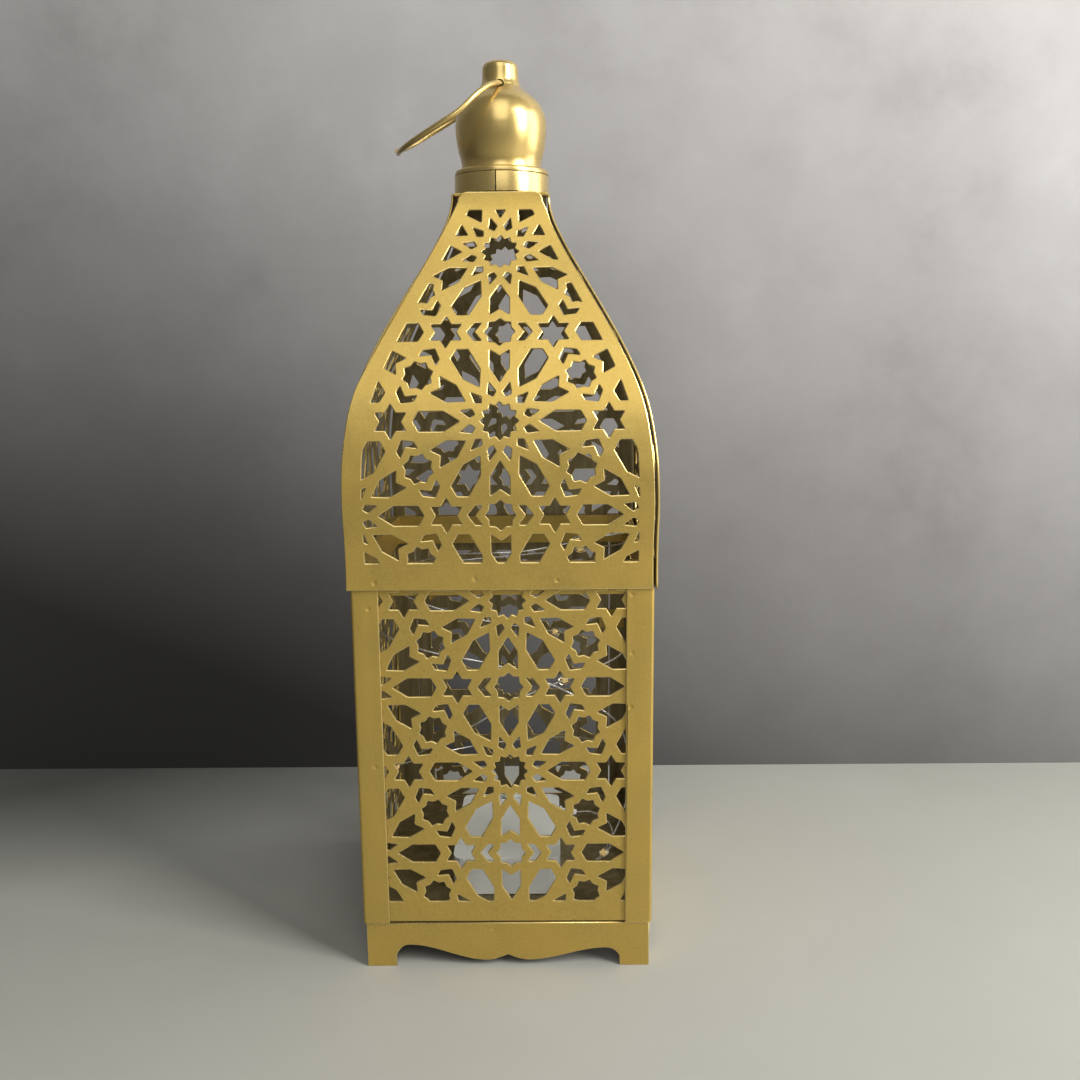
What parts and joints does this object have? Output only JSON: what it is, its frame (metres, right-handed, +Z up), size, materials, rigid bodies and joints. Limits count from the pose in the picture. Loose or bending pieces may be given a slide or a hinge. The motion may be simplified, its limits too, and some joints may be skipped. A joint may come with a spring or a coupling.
{
  "type": "decorative led lantern",
  "caption": "Square pierced-metal lantern with an ogee roof, turned finial, ring handle and back door, lit by a battery wire of small lights.",
  "frame": {"origin": "on the table, under the middle of the lantern", "axes": "+Z up along the lantern, front face towards -Y, +X to the right seen from the front; the door is at +Y"},
  "size_m": [0.1026, 0.1052, 0.31],
  "materials": {
    "gold_paint": "satin gold paint with fine grain",
    "steel": "plain zinc-plated",
    "pale_plastic": "glossy, pale",
    "cell_wrap": "glossy wrap",
    "circuit_board": "green solder mask",
    "silver_wire": "bright bare wire",
    "clear_drop": "clear resin, warm when lit"
  },
  "bodies": {
    "root": {"skirt_front": "gold_paint", "skirt_right": "gold_paint", "skirt_back": "gold_paint", "skirt_left": "gold_paint", "floor_plate": "gold_paint", "corner_post_front_right": "gold_paint", "corner_post_back_right": "gold_paint", "corner_post_back_left": "gold_paint", "corner_post_front_left": "gold_paint", "body_panel_front": "gold_paint", "body_panel_right": "gold_paint", "body_panel_left": "gold_paint", "upper_frame": "gold_paint", "roof_panel_front": "gold_paint", "roof_panel_right": "gold_paint", "roof_panel_back": "gold_paint", "roof_panel_left": "gold_paint", "cap_plate": "gold_paint", "collar_band": "gold_paint", "finial_shell": "gold_paint", "post_leaf_lower": "gold_paint", "post_leaf_upper": "gold_paint", "door_stop": "gold_paint", "finial_disc": "steel", "finial_screw": "steel", "finial_washer": "steel", "finial_nut": "steel", "hinge_pin_lower": "steel", "hinge_pin_upper": "steel", "contact_front_bridge": "steel", "contact_front_end": "steel", "contact_rear_end": "steel", "contact_rear_bridge": "steel", "battery_case": "pale_plastic", "switch_frame": "pale_plastic", "lead_gland": "pale_plastic", "battery_cell_1": "cell_wrap", "battery_cell_2": "cell_wrap", "battery_cell_3": "cell_wrap", "timer_board": "circuit_board", "light_wire": "silver_wire", "led_drop_01": "clear_drop", "led_drop_02": "clear_drop", "led_drop_03": "clear_drop", "led_drop_04": "clear_drop", "led_drop_05": "clear_drop", "led_drop_06": "clear_drop", "led_drop_07": "clear_drop", "led_drop_08": "clear_drop", "led_drop_09": "clear_drop", "led_drop_10": "clear_drop"},
    "ring": {"ring_handle": "gold_paint"},
    "door": {"door_panel": "gold_paint", "door_leaf_lower": "gold_paint", "door_leaf_upper": "gold_paint", "door_knob": "gold_paint", "door_knob_nut": "steel"},
    "switch": {"switch_slider": "pale_plastic"},
    "cover": {"battery_cover": "pale_plastic"}
  },
  "joints": [
    {"name": "ring_swing", "type": "hinge", "parent": "root", "child": "ring", "pos_m": [0, 0, 0.3015], "axis": [0, 1, 0], "range_deg": [-30, 270]},
    {"name": "door_hinge", "type": "hinge", "parent": "root", "child": "door", "pos_m": [-0.04055, 0.052, 0.0759], "axis": [0, 0, 1], "range_deg": [0, 165]},
    {"name": "switch_slide", "type": "slide", "parent": "root", "child": "switch", "axis": [1, 0, 0], "range_m": [-0.002, 0.002]},
    {"name": "cover_slide", "type": "slide", "parent": "root", "child": "cover", "axis": [0, 1, 0], "range_m": [0, 0.018]}
  ]
}
